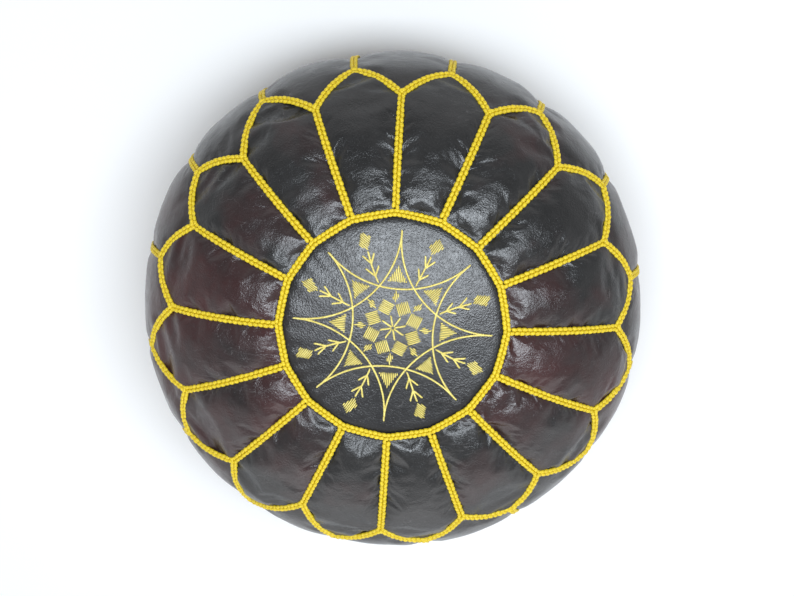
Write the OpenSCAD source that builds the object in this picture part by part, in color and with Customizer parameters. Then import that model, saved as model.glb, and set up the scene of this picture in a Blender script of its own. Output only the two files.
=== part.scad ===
// Round leather pouf: a scalloped flower of petals on top, side panels below,
// braided trim over every seam, an embroidered medallion and a zip in the base.
// The origin is on the floor under the middle of the pouf, +Z is up, lengths are millimetres.

/* [Cover] */
// Diameter over the leather at the widest level
cover_d = 540; // [460:5:620]
// Height of the leather at the middle of the medallion
cover_h = 305; // [260:5:340]
// Height of the widest level above the floor
equator_z = 150; // [130:5:165]
// Fullness of the upper shoulder (2 is an ellipse, higher is squarer)
upper_fullness = 2.5; // [2.2:0.1:3]
// Fullness of the lower shoulder
lower_fullness = 3.2; // [2.6:0.1:3.6]
// Thickness of the leather
leather_t = 1.8; // [1.2:0.1:2.2]

/* [Panels] */
// Number of petals on top, and of side panels below them
panels = 16; // [12:1:18]
// Radius of the seam around the medallion
ring_r = 112.5; // [90:1:130]
// Radius, seen from above, of the corners where two petals meet the side
valley_r = 227; // [215:1:238]
// Radius, seen from above, of the outermost point of each petal
apex_r = 255.5; // [250:0.5:262]
// Direction of the first radial seam, anticlockwise from +X
first_seam_deg = 87.2; // [0:0.1:90]
// Roundness of the petal ends (90 is fully round, lower is more pointed)
arch_roundness_deg = 60; // [45:1:85]

/* [Braid] */
// Width of the braided trim
braid_w = 7.6; // [6:0.2:10]
// Height of the braid above the leather
braid_h = 2.5; // [1.8:0.1:3.5]

/* [Embroidery] */
// Radius of the eight tips of the star
star_tip_r = 97; // [80:1:100]
// Radius where the star's arcs come nearest to the middle
star_waist_r = 39; // [34:1:44]
// Width of one line of stem stitch
stitch_w = 1.6; // [1.2:0.1:2.4]
// Height of the thread above the leather
thread_h = 0.8; // [0.5:0.1:1.2]

/* [Base and zip] */
// Radius of the seam between the side panels and the base
base_r = 168; // [150:1:180]
// Length of the zip's chain
zip_l = 276; // [200:4:276]
// Distance from one coil loop to the next
coil_pitch = 2; // [1.5:0.1:3]
// Width of the slot between the two halves of the base
slot_w = 12; // [11:0.5:14]
// Length of the pull tab
pull_l = 24; // [18:1:24]

/* [Hidden] */
$fn = 96;
cover_r = cover_d / 2;
rise = cover_h - equator_z;
// The lower curve aims a little below the floor, where the base cuts it off
lower_depth = equator_z + 10;
pitch_deg = 360 / panels;
seam_gap = 0.3;
layer_gap = 0.2;
skin_step = 5;
table_step = 1;
overcut = 60;

// ---- The cover's profile, as radius and height for each angle above or below the widest level ----
function sharpness(up) = up ? upper_fullness : lower_fullness;
function depth_of(up) = up ? rise : lower_depth;
function height_at(a) = depth_of(a >= 0) * pow(abs(sin(a)), 2 / sharpness(a >= 0)) * sign(a);
function profile_at(a) = [cover_r * pow(cos(a), 2 / sharpness(a >= 0)), height_at(a)];
function slope_of(v, reach, n) = sign(v) * pow(abs(v) / reach, n - 1) / reach;
function raw_normal(a, p) = [
  slope_of(p[0], cover_r, sharpness(a >= 0)),
  slope_of(p[1], depth_of(a >= 0), sharpness(a >= 0))
];
function normal_at(a) = let (v = raw_normal(a, profile_at(a))) v / norm(v);
function skin_at(a, lift) = [0, equator_z] + profile_at(a) + lift * normal_at(a);
function angle_of(r, up) = acos(pow(r / cover_r, sharpness(up) / 2));

ring_a = angle_of(ring_r, true);
valley_a = angle_of(valley_r, true);
apex_a = angle_of(apex_r, true);
base_a = -angle_of(base_r, false);

// A band of the cover from angle a1 down to a0, between two lifts off the leather's face
// Levels are whole steps between the ends, so that bands over each other bend in the same places
function steps_between(a1, a0) = concat(
  [a1],
  [for (i = [ceil(a1 / skin_step) - 1:-1:floor(a0 / skin_step) + 1]) i * skin_step],
  [a0]);
module skin_band(a1, a0, lift0, lift1) {
  levels = steps_between(a1, a0);
  last = len(levels) - 1;
  rotate_extrude()
    polygon(concat(
      [for (a = levels) skin_at(a, lift1)],
      [for (i = [last:-1:0]) skin_at(levels[i], lift0)]));
}

// ---- The medallion's dome, a ball cap that meets the profile at the ring seam ----
ring_drop = cover_h - skin_at(ring_a, 0)[1];
dome_r = (ring_r * ring_r + ring_drop * ring_drop) / (2 * ring_drop);
dome_z = cover_h - dome_r;
module dome_ball(lift) {
  translate([0, 0, dome_z])
    sphere(r = dome_r + lift, $fn = 360);
}
module dome_layer(lift0, lift1, r) {
  intersection() {
    difference() {
      dome_ball(lift1);
      dome_ball(lift0);
    }
    translate([0, 0, cover_h - 2 * ring_drop])
      cylinder(r = r, h = 3 * ring_drop);
  }
}

// ---- Directions of the seams ----
function seam_deg(k) = first_seam_deg - (k - 1) * pitch_deg;
function middle_deg(k) = seam_deg(k) - pitch_deg / 2;
function at_deg(r, deg) = [r * cos(deg), r * sin(deg)];

// ---- The arched edge of a petal, measured along the cover ----
// Distance down the cover from the ring seam, and back again to the profile angle
table_levels = [for (a = [ring_a:-table_step:table_step]) a];
function run_between(a, b) = norm(profile_at(a) - profile_at(b));
function add_up(v, i = 0, sum = 0) = i >= len(v)
  ? [sum]
  : concat([sum], add_up(v, i + 1, sum + v[i]));
table_runs = add_up([
  for (i = [1:len(table_levels) - 1]) run_between(table_levels[i - 1], table_levels[i])
]);
angle_by_run = [for (i = [0:len(table_levels) - 1]) [table_runs[i], table_levels[i]]];
run_by_angle = [for (i = [len(table_levels) - 1:-1:0]) [table_levels[i], table_runs[i]]];
function run_of(a) = lookup(a, run_by_angle);
function angle_at_run(s) = lookup(s, angle_by_run);
valley_run = run_of(valley_a);
apex_run = run_of(apex_a);
arch_span = apex_run - valley_run;

// u goes from 0 at one valley through 1 at the apex to 2 at the next valley
function half_u(u) = u <= 1 ? u : 2 - u;
function arch_run(u) = valley_run
  + arch_span * sin(arch_roundness_deg * half_u(u)) / sin(arch_roundness_deg);
function arch_climb(u) = (u < 1 ? 1 : -1) * arch_span * arch_roundness_deg * PI / 180
  * cos(arch_roundness_deg * half_u(u)) / sin(arch_roundness_deg);
function arch_sweep(u) = profile_at(angle_at_run(arch_run(u)))[0] * pitch_deg / 2 * PI / 180;
function is_corner(u) = u == 0 || u == 1 || u == 2;
// Point beside the arch: w outwards along the cover, then lift off it; as angle around, level, lift
function beside_arch(u, w) = let (
    climb = arch_climb(u),
    sweep = arch_sweep(u),
    tilt = atan2(climb, sweep),
    side = is_corner(u) ? 0 : -w * sin(tilt),
    down = is_corner(u) ? w / cos(tilt) : w * cos(tilt),
    level = angle_at_run(arch_run(u) + down),
    r = profile_at(level)[0]
  ) [-u * pitch_deg / 2 - side / r * 180 / PI, level];
function arch_plan_point(k, u, w) = let (b = beside_arch(u, w))
  at_deg(skin_at(b[1], -leather_t / 2)[0], seam_deg(k) + b[0]);
function arch_space_point(k, u, w, lift, turn) = let (
    b = beside_arch(u, w),
    p = skin_at(b[1], lift),
    deg = seam_deg(k) + b[0] + turn
  ) [p[0] * cos(deg), p[0] * sin(deg), p[1]];

arch_steps = 7;
arch_us = [for (i = [0:2 * arch_steps]) i / arch_steps];

// ---- Leather of the top ----
module top_medallion() {
  color("#242023")
    dome_layer(-leather_t, 0, ring_r - seam_gap / 2);
}

// Plan outline of petal k, from the medallion's seam to its arched end
module petal_plan(k) {
  side_shift = seam_gap / 2;
  left = at_deg(side_shift, seam_deg(k) - 90);
  right = at_deg(side_shift, seam_deg(k + 1) + 90);
  inner_r = ring_r - 20;
  arch = [for (u = arch_us) arch_plan_point(k, u, -side_shift)];
  last = len(arch) - 1;
  polygon(concat(
    [at_deg(inner_r, seam_deg(k)) + left, arch[0] + left],
    [for (i = [1:last - 1]) arch[i]],
    [arch[last] + right, at_deg(inner_r, seam_deg(k + 1)) + right]));
}
module top_petal(k) {
  color("#2c2224")
    intersection() {
      skin_band(ring_a - 0.1, apex_a - 4, -leather_t, 0);
      translate([0, 0, equator_z])
        linear_extrude(height = cover_h)
          petal_plan(k);
    }
}

// ---- Leather of the side: each panel hangs below one valley, half a petal to either side ----
// Wedge as wide as one panel, from the axis out past the cover
module side_wedge(k) {
  reach = cover_r + overcut;
  rotate([0, 0, seam_deg(k)])
    polygon([
      at_deg(seam_gap, 0),
      at_deg(reach, -pitch_deg / 2) + at_deg(seam_gap / 2, 90 - pitch_deg / 2),
      at_deg(reach, 0),
      at_deg(reach, pitch_deg / 2) - at_deg(seam_gap / 2, 90 + pitch_deg / 2)
    ]);
}
// Everything inside the arches on both sides of seam k, in plan
module inside_arches(k) {
  before = [for (u = arch_us) if (u >= 1) arch_plan_point(k - 1, u, seam_gap / 2)];
  after = [for (u = arch_us) if (u > 0 && u <= 1) arch_plan_point(k, u, seam_gap / 2)];
  rim = concat(before, after);
  out = [
    at_deg(norm(rim[0]), middle_deg(k - 1) + 2),
    at_deg(norm(rim[len(rim) - 1]), middle_deg(k) - 2)
  ];
  polygon(concat([[0, 0], out[0]], rim, [out[1]]));
}
module side_panel(k) {
  color("#3a3637")
    difference() {
      intersection() {
        skin_band(valley_a, base_a, -leather_t, 0);
        linear_extrude(height = cover_h)
          side_wedge(k);
      }
      translate([0, 0, equator_z + 20])
        linear_extrude(height = cover_h)
          inside_arches(k);
    }
}

// ---- Braided trim over the seams ----
braid_lift0 = layer_gap;
braid_lift1 = braid_h;
// Half the braid's width, as an angle of the profile near level a
function half_braid_deg(a) = (braid_w / 2) / (run_of(a - 1) - run_of(a));

module ring_braid() {
  color("#e3b90a")
    skin_band(ring_a + half_braid_deg(ring_a), ring_a - half_braid_deg(ring_a),
      braid_lift0 + 0.3, braid_lift1);
}

// Upright slab as wide as the braid, running outwards in one direction
module braid_slab(deg) {
  rotate([0, 0, deg])
    translate([0, -braid_w / 2, -1])
      cube([cover_r + overcut, braid_w, cover_h + overcut]);
}
module braid_strip(deg, a1, a0) {
  intersection() {
    skin_band(a1, a0, braid_lift0, braid_lift1);
    braid_slab(deg);
  }
}
ring_edge_a = angle_at_run(braid_w / 2 + seam_gap);
valley_edge_a = beside_arch(0, -(braid_w / 2 + seam_gap))[1];
apex_edge_a = beside_arch(1, braid_w / 2 + seam_gap)[1];

module radial_braids() {
  color("#e3b90a")
    for (k = [1:panels]) braid_strip(seam_deg(k), ring_edge_a, valley_edge_a);
}
module side_braids() {
  color("#e3b90a")
    for (k = [1:panels]) braid_strip(middle_deg(k), apex_edge_a, base_a);
}

// The arched braid of one petal: a flat rounded section swept along the arch
arch_section = [
  [-0.5, 0], [0.5, 0], [0.5, 0.6], [0.3, 1], [-0.3, 1], [-0.5, 0.6]
];
end_gap_deg = 0.04;
module arch_braid(k) {
  n = len(arch_section);
  last = len(arch_us) - 1;
  points = [
    for (i = [0:last]) for (c = arch_section)
      arch_space_point(k, arch_us[i], c[0] * braid_w,
        braid_lift0 + c[1] * (braid_lift1 - braid_lift0),
        i == 0 ? -end_gap_deg : i == last ? end_gap_deg : 0)
  ];
  sides = [
    for (i = [0:last - 1]) for (j = [0:n - 1])
      [i * n + j, i * n + (j + 1) % n, (i + 1) * n + (j + 1) % n, (i + 1) * n + j]
  ];
  ends = [[for (j = [n - 1:-1:0]) j], [for (j = [0:n - 1]) last * n + j]];
  polyhedron(points = points, faces = concat(sides, ends), convexity = 4);
}
module scallop_braids() {
  color("#e3b90a")
    for (k = [1:panels]) arch_braid(k);
}

// ---- Embroidery on the medallion: an eight-pointed star of arcs around a rosette ----
star_points = 8;
star_pitch = 360 / star_points;
// The star's tips and the sprigs between them
tip_deg = 84.6;
sprig_deg = tip_deg - star_pitch / 2;
// Circle of one arc: it joins two tips and bulges to the middle between them
tip_mid = star_tip_r * cos(star_pitch);
tip_half = star_tip_r * sin(star_pitch);
arc_bulge = tip_mid - star_waist_r;
arc_r = (tip_half * tip_half + arc_bulge * arc_bulge) / (2 * arc_bulge);
arc_centre = star_waist_r + arc_r;
arc_half_deg = atan2(tip_half, arc_centre - tip_mid);

module thread_layer() {
  intersection() {
    dome_layer(layer_gap, thread_h, ring_r - braid_w);
    translate([0, 0, cover_h - 2 * ring_drop])
      linear_extrude(height = 3 * ring_drop)
        children();
  }
}
module around(first_deg) {
  for (k = [0:star_points - 1])
    rotate([0, 0, first_deg - k * star_pitch]) children();
}
// One stroke of thread from [x0, y0] to [x1, y1]
module stroke(from, to, w = stitch_w) {
  run = to - from;
  translate(from)
    rotate([0, 0, atan2(run[1], run[0])])
      translate([0, -w / 2])
        square([norm(run), w]);
}
function turned(v, deg) = [v[0] * cos(deg) - v[1] * sin(deg), v[0] * sin(deg) + v[1] * cos(deg)];
function arc_points(r, from_deg, to_deg, n) = [
  for (i = [0:n]) at_deg(r, from_deg + (to_deg - from_deg) * i / n)
];
// Where an arc crosses its neighbour, and how far from the tip the two run side by side
cross_r = arc_centre * cos(star_pitch / 2)
  - sqrt(pow(arc_r, 2) - pow(arc_centre * sin(star_pitch / 2), 2));
cross_deg = asin(cross_r * sin(star_pitch / 2) / arc_r);
cross_gap_deg = 1.2 * stitch_w / arc_r * 180 / PI;
merge_deg = sqrt((stitch_w + layer_gap) / arc_r) * 180 / PI;
module arc_stretch(from_deg, to_deg) {
  n = 10;
  translate([arc_centre, 0])
    polygon(concat(
      arc_points(arc_r - stitch_w / 2, 180 + from_deg, 180 + to_deg, n),
      arc_points(arc_r + stitch_w / 2, 180 + to_deg, 180 + from_deg, n)));
}
// Each arc goes over the neighbour on one side and under the neighbour on the other
module star_arc() {
  arc_stretch(merge_deg - arc_half_deg, cross_deg - cross_gap_deg);
  arc_stretch(cross_deg + cross_gap_deg, arc_half_deg);
}
module embroidery_star() {
  color("#d9c654")
    thread_layer() around(tip_deg) star_arc();
}

// A sprig: a stem with two pairs of short branches
sprig_from = 49;
sprig_to = 79;
branch_at = [55, 69];
branch_run = [9, 6.5];
module embroidery_sprigs() {
  color("#d9c654")
    thread_layer() around(sprig_deg) {
      stroke([sprig_from, 0], [sprig_to, 0]);
      for (r = branch_at) for (s = [-1, 1]) stroke([r, 0], [r, 0] + [branch_run[0], s * branch_run[1]]);
    }
}
// A slanted diamond of satin stitch at the end of each sprig
lozenge = [[80.3, 0.5], [87, 6.6], [99, 1.5], [92.3, -6.5]];
module embroidery_lozenges() {
  color("#d9c654")
    thread_layer() around(sprig_deg) polygon(lozenge);
}
triangle_base_r = 47;
triangle_top_r = 60.5;
triangle_half = 9;
module embroidery_triangles() {
  color("#d9c654")
    thread_layer() around(tip_deg)
      polygon([
        [triangle_base_r, -triangle_half],
        [triangle_top_r, 0],
        [triangle_base_r, triangle_half]
      ]);
}
// The rosette: squares with a corner to the middle, small leaves, and short stems inside
square_r = 21.7;
square_w = 11.6;
leaf_r = 31.4;
leaf_long = 6.2;
leaf_half = 3.1;
stem_from = 3;
stem_to = 11.5;
module embroidery_rosette() {
  color("#d9c654")
    thread_layer() {
      around(sprig_deg)
        translate([square_r, 0]) rotate([0, 0, 45]) square(square_w, center = true);
      around(tip_deg)
        translate([leaf_r, 0])
          polygon([[-leaf_long, 0], [0, -leaf_half], [leaf_long, 0], [0, leaf_half]]);
      around(tip_deg) stroke([stem_from, 0], [stem_to, 0]);
    }
}

// ---- Base: two half discs, each with a hem folded three deep along the zip ----
slot_half = slot_w / 2;
slot_l = zip_l + 34;
hem_t = 3 * leather_t;
hem_w = 13.5;
hem_l = slot_l + 8;
module base_plan() {
  difference() {
    circle(r = base_r - 0.6);
    translate([-base_r, -2 * base_r])
      square([2 * base_r, 2 * base_r + seam_gap / 2]);
    translate([-slot_l / 2, -slot_half])
      square([slot_l, slot_w]);
  }
}
module base_half(side) {
  color("#2a2527")
    rotate([0, 0, side > 0 ? 0 : 180]) {
      linear_extrude(height = leather_t)
        base_plan();
      translate([-hem_l / 2, slot_half, 0])
        cube([hem_l, hem_w, hem_t]);
    }
}

// ---- Stuffing: fills the cover, with a hollow over the zip ----
pocket_l = hem_l + 2;
pocket_w = 2 * (slot_half + hem_w + 0.5);
pocket_top = 8.4;
stuffing_lift = -leather_t - seam_gap;
module stuffing() {
  floor_z = leather_t + seam_gap;
  side = [for (a = steps_between(ring_a, base_a)) skin_at(a, stuffing_lift)];
  rim = [for (p = side) if (p[1] > floor_z) p];
  color("#efe9dc")
    difference() {
      rotate_extrude()
        polygon(concat(
          [[0, cover_h + stuffing_lift - 0.4]],
          [[ring_r / 2, dome_z + sqrt(pow(dome_r + stuffing_lift - 0.4, 2) - pow(ring_r / 2, 2))]],
          rim,
          [[rim[len(rim) - 1][0] - 0.5, floor_z], [0, floor_z]]));
      translate([-pocket_l / 2, -pocket_w / 2, 0])
        cube([pocket_l, pocket_w, pocket_top]);
    }
}

// ---- Zip ----
tape_gap = 0.6;
tape_w = 15.4;
tape_z = hem_t + 0.1;
tape_t = 0.6;
tape_l = slot_l + 6;
coil_in = 0.55;
coil_spine = 2.1;
coil_out = 3.3;
coil_z0 = 3.4;
coil_z1 = 5.4;
coil_n = floor(zip_l / coil_pitch);
tooth_w = 0.62 * coil_pitch;

module zip_tape(side) {
  color("#1c1a1c")
    rotate([0, 0, side > 0 ? 0 : 180])
      translate([-tape_l / 2, tape_gap, tape_z])
        cube([tape_l, tape_w, tape_t]);
}
// A comb stands for the coil: one tooth for each loop, on a cord along the back
function tooth_outline(x) = [
  [x, coil_spine], [x, coil_in], [x + tooth_w, coil_in], [x + tooth_w, coil_spine]
];
module zip_coil(side) {
  start = -zip_l / 2 + (side > 0 ? 0 : coil_pitch / 2);
  teeth = [for (i = [0:coil_n - 2]) each tooth_outline(start + i * coil_pitch)];
  color("#151315")
    on_side(side)
      translate([0, 0, coil_z0])
        linear_extrude(height = coil_z1 - coil_z0)
          polygon(concat(
            [[-zip_l / 2, coil_out], [-zip_l / 2, coil_spine]],
            teeth,
            [[zip_l / 2, coil_spine], [zip_l / 2, coil_out]]));
}
module on_side(side) {
  if (side > 0) children();
  else mirror([0, 1, 0]) children();
}
stop_l = 3;
module zip_stop(end) {
  color("#b9bcc0")
    translate([end * (zip_l / 2 + seam_gap + stop_l / 2) - stop_l / 2, -coil_out, coil_z0])
      cube([stop_l, 2 * coil_out, coil_z1 - coil_z0]);
}

// Slider: two plates around the coils, joined by a post that runs between them
slider_x = zip_l / 2 - 9;
slider_l = 12;
slider_half = 4.6;
plate_t = 1;
outer_plate_z = 2.1;
inner_plate_z = tape_z + tape_t + 0.2;
flange_t = 0.9;
post_half = 0.32;
post_l = 4;
crown_half = 3.6;
crown_w = 1.8;
crown_post = 1;
crown_z = 0.3;
crown_t = 0.7;
module zip_slider() {
  color("#b9bcc0")
    translate([slider_x, 0, 0])
      union() {
        translate([-slider_l / 2, -slider_half, outer_plate_z])
          cube([slider_l, 2 * slider_half, plate_t]);
        translate([-slider_l / 2, -slider_half, inner_plate_z])
          cube([slider_l, 2 * slider_half, plate_t]);
        for (s = [-1, 1])
          translate([-slider_l / 2, s * (slider_half - flange_t / 2) - flange_t / 2, outer_plate_z])
            cube([slider_l, flange_t, tape_z - 0.25 - outer_plate_z]);
        translate([slider_l / 2 - post_l, -post_half, outer_plate_z + plate_t / 2])
          cube([post_l, 2 * post_half, inner_plate_z - outer_plate_z]);
        translate([-crown_half, -crown_w / 2, crown_z])
          cube([2 * crown_half, crown_w, crown_t]);
        for (s = [-1, 1])
          translate([s * (crown_half - crown_post / 2) - crown_post / 2, -crown_w / 2, crown_z])
            cube([crown_post, crown_w, outer_plate_z + plate_t / 2 - crown_z]);
      }
}

// Pull: a tab with a window, hung by its round end bar inside the slider's crown
pin_r = 0.45;
pin_z = (crown_z + crown_t + outer_plate_z) / 2;
pull_half = 3.2;
pull_t = 0.6;
window_l = 5;
window_half = 1.5;
module zip_pull() {
  color("#b9bcc0")
    translate([slider_x, 0, pin_z]) {
      rotate([90, 0, 0])
        cylinder(r = pin_r, h = 2 * pull_half, center = true, $fn = 32);
      difference() {
        translate([-pull_l, -pull_half, -pull_t / 2])
          cube([pull_l, 2 * pull_half, pull_t]);
        translate([-window_l, -window_half, -pull_t])
          cube([window_l + 1, 2 * window_half, 2 * pull_t]);
        translate([-pull_l + 4.5, 0, -pull_t])
          cylinder(r = 1.6, h = 2 * pull_t, $fn = 32);
      }
    }
}

function numbered(stem, k) = str(stem, k < 10 ? "_0" : "_", k);

stuffing();
top_medallion();
for (k = [1:panels]) {
  top_petal(k);
  side_panel(k);
}
ring_braid();
radial_braids();
scallop_braids();
side_braids();
embroidery_star();
embroidery_sprigs();
embroidery_lozenges();
embroidery_triangles();
embroidery_rosette();
base_half(1);  // base_half_left
base_half(-1);  // base_half_right
zip_tape(1);  // zip_tape_left
zip_tape(-1);  // zip_tape_right
zip_coil(1);  // zip_coil_left
zip_coil(-1);  // zip_coil_right
zip_stop(-1);  // zip_stop_open
zip_stop(1);  // zip_stop_closed
zip_slider();
zip_pull();
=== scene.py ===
"""Leather pouf: puffed leather panels, plaited silk trim, satin-stitch embroidery and a zipped base.

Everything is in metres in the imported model's frame: +Z up, origin on the floor under the middle.
"""
import math
import random

import bpy
import numpy as np
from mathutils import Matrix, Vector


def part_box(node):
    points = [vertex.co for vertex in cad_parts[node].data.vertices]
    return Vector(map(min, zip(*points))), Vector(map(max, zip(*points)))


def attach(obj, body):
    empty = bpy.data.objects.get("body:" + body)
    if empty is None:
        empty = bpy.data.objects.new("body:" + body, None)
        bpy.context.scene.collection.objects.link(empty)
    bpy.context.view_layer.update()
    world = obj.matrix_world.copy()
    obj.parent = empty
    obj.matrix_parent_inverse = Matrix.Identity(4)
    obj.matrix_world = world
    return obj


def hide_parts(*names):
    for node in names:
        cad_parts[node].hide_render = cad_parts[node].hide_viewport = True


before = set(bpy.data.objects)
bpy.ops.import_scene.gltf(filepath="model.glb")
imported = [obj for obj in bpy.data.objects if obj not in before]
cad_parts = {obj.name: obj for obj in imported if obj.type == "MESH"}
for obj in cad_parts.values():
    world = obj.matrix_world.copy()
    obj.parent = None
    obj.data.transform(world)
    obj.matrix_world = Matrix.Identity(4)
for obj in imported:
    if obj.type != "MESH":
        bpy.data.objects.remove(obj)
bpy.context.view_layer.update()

MM = 0.001
UP = np.array([0.0, 0.0, 1.0])

# ------------------------------------------------------------------ sizes shared with the CAD
PANELS = 16
PITCH = 360 / PANELS
FIRST_SEAM = 87.2
LEATHER = 1.8 * MM
COVER_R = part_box("side_panel_05")[1].x
COVER_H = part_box("top_medallion")[1].z
EQUATOR = 150 * MM
RISE = COVER_H - EQUATOR
LOWER = EQUATOR + 10 * MM
UPPER_FULLNESS = 2.5
LOWER_FULLNESS = 3.2
RING_R = 112.5 * MM
VALLEY_R = 227 * MM
APEX_R = 255.5 * MM
BASE_R = 168 * MM
ARCH_ROUNDNESS = 60
BRAID_W = 7.6 * MM


# ------------------------------------------------------------------ camera
def aim_camera():
    """The photograph looks down on the top, tilted a little towards +Y."""
    distance, tilt = 1.5, math.radians(9.7)
    data = bpy.data.cameras.new("camera")
    data.lens = 61.8
    data.clip_start = 0.05
    camera = bpy.data.objects.new("camera", data)
    bpy.context.scene.collection.objects.link(camera)
    aside, ahead = 4.2 * MM, 3.6 * MM
    camera.location = (aside, ahead + distance * math.sin(tilt), EQUATOR + distance * math.cos(tilt))
    camera.rotation_euler = (-tilt, 0, 0)
    bpy.context.scene.camera = camera
    return camera


aim_camera()


# ------------------------------------------------------------------ the cover's profile
def profile(level):
    """Radius, height and outward normal of the cover at an angle above or below its widest level."""
    level = np.asarray(level, float)
    up = level >= 0
    full = np.where(up, UPPER_FULLNESS, LOWER_FULLNESS)
    depth = np.where(up, RISE, LOWER)
    a = np.radians(np.abs(level))
    r = COVER_R * np.cos(a) ** (2 / full)
    z = depth * np.sin(a) ** (2 / full)
    nr = (r / COVER_R) ** (full - 1) / COVER_R
    nz = (z / depth) ** (full - 1) / depth
    size = np.hypot(nr, nz)
    sign = np.where(up, 1, -1)
    return r, EQUATOR + sign * z, nr / size, sign * nz / size


def level_of(radius, up=True):
    full = UPPER_FULLNESS if up else LOWER_FULLNESS
    return math.degrees(math.acos((radius / COVER_R) ** (full / 2))) * (1 if up else -1)


RING_LEVEL = level_of(RING_R)
BASE_LEVEL = level_of(BASE_R, up=False)
LEVELS = np.linspace(RING_LEVEL, BASE_LEVEL, 600)
_r, _z, _, _ = profile(LEVELS)
RUNS = np.concatenate([[0], np.cumsum(np.hypot(np.diff(_r), np.diff(_z)))])
BASE_RUN = RUNS[-1]


def run_of(level):
    return float(np.interp(-level, -LEVELS, RUNS))


VALLEY_RUN = run_of(level_of(VALLEY_R))
APEX_RUN = run_of(level_of(APEX_R))


def on_cover(run, deg, lift=0.0):
    """Points at a distance down the cover from the ring seam, a direction, and a height off it."""
    level = np.interp(run, RUNS, LEVELS)
    r, z, nr, nz = profile(level)
    a = np.radians(deg)
    r, z = r + lift * nr, z + lift * nz
    return np.stack([r * np.cos(a), r * np.sin(a), z + 0 * a], -1)


def cover_normal(run, deg):
    level = np.interp(run, RUNS, LEVELS)
    _, _, nr, nz = profile(level)
    a = np.radians(deg)
    return np.stack([nr * np.cos(a), nr * np.sin(a), nz + 0 * a], -1)


def seam_deg(k):
    return FIRST_SEAM - k * PITCH


def arch_run(u):
    """How far down the cover a petal's edge is: u is 0 and 2 at its corners and 1 at its tip."""
    h = 1 - np.abs(1 - np.asarray(u, float))
    bend = math.radians(ARCH_ROUNDNESS)
    return VALLEY_RUN + (APEX_RUN - VALLEY_RUN) * np.sin(bend * h) / math.sin(bend)


# ------------------------------------------------------------------ small helpers
random.seed(16)


def soft_noise(points, scale, seed):
    """Smooth noise from -1 to 1 at each point: a sum of sine waves in seeded directions."""
    local = np.random.default_rng(seed)
    total = np.zeros(np.shape(points)[:-1])
    waves = 14
    for _ in range(waves):
        way = local.normal(size=3)
        way *= scale * local.uniform(0.6, 1.5) / np.linalg.norm(way)
        total += np.sin(points @ way + local.uniform(0, 2 * math.pi))
    return np.clip(total / math.sqrt(waves), -2, 2) / 2


def add_mesh(name, points, faces, smooth=True):
    mesh = bpy.data.meshes.new(name)
    mesh.from_pydata(np.asarray(points).tolist(), [], faces)
    mesh.update()
    mesh.shade_smooth() if smooth else mesh.shade_flat()
    obj = bpy.data.objects.new(name, mesh)
    bpy.context.scene.collection.objects.link(obj)
    return obj


def grid_faces(index):
    """Quads over a 2D array of vertex numbers, facing out of the cover."""
    a, b = index[:-1, :-1], index[:-1, 1:]
    c, d = index[1:, 1:], index[1:, :-1]
    return np.stack([a, b, c, d], -1).reshape(-1, 4).tolist()


def as_piece(obj, material, body, slot, *nodes):
    obj.data.materials.clear()
    obj.data.materials.append(material)
    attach(obj, body)
    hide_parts(*nodes)
    return obj


def thicken(obj, thickness, levels=1):
    shell = obj.modifiers.new("thickness", "SOLIDIFY")
    shell.thickness = thickness
    shell.offset = -1
    shell.use_even_offset = False
    smooth = obj.modifiers.new("smooth", "SUBSURF")
    smooth.levels = smooth.render_levels = levels


# ------------------------------------------------------------------ materials
class Shader:
    """A short way to write a node material."""

    def __init__(self, name):
        self.material = bpy.data.materials.new(name)
        self.material.use_nodes = True
        self.tree = self.material.node_tree
        self.bsdf = self.tree.nodes["Principled BSDF"]

    def node(self, kind, **values):
        made = self.tree.nodes.new("ShaderNode" + kind)
        for key, value in values.items():
            if hasattr(made, key):
                setattr(made, key, value)
            else:
                made.inputs[key.replace("_", " ")].default_value = value
        return made

    def link(self, source, target):
        self.tree.links.new(source, target)

    def where(self):
        return self.node("TexCoord").outputs["Object"]

    def noise(self, scale, detail=3.0, roughness=0.5, distortion=0.0, vector=None):
        made = self.node("TexNoise", Scale=scale, Detail=detail, Roughness=roughness,
                         Distortion=distortion)
        self.link(vector or self.where(), made.inputs["Vector"])
        return made.outputs["Fac"]

    def ramp(self, source, *stops):
        made = self.node("ValToRGB")
        ramp = made.color_ramp
        while len(ramp.elements) < len(stops):
            ramp.elements.new(0.5)
        for element, (place, colour) in zip(ramp.elements, stops):
            element.position = place
            element.color = (*colour, 1) if hasattr(colour, "__len__") else (colour,) * 3 + (1,)
        self.link(source, made.inputs["Fac"])
        return made.outputs["Color"]

    def math(self, kind, a, b=None):
        made = self.node("Math", operation=kind)
        for i, value in enumerate(v for v in (a, b) if v is not None):
            if isinstance(value, (int, float)):
                made.inputs[i].default_value = value
            else:
                self.link(value, made.inputs[i])
        return made.outputs[0]

    def mix(self, factor, a, b, blend="MIX"):
        made = self.node("MixRGB", blend_type=blend)
        for i, value in enumerate((factor, a, b)):
            if isinstance(value, (int, float)):
                made.inputs[i].default_value = value if i == 0 else (value,) * 3 + (1,)
            elif isinstance(value, tuple):
                made.inputs[i].default_value = (*value, 1)
            else:
                self.link(value, made.inputs[i])
        return made.outputs[0]

    def bump(self, height, strength, distance, under=None):
        made = self.node("Bump", Strength=strength, Distance=distance)
        self.link(height, made.inputs["Height"])
        if under is not None:
            self.link(under, made.inputs["Normal"])
        return made.outputs["Normal"]

    def set(self, **values):
        for key, value in values.items():
            self.bsdf.inputs[key.replace("_", " ")].default_value = value
        return self


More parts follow.
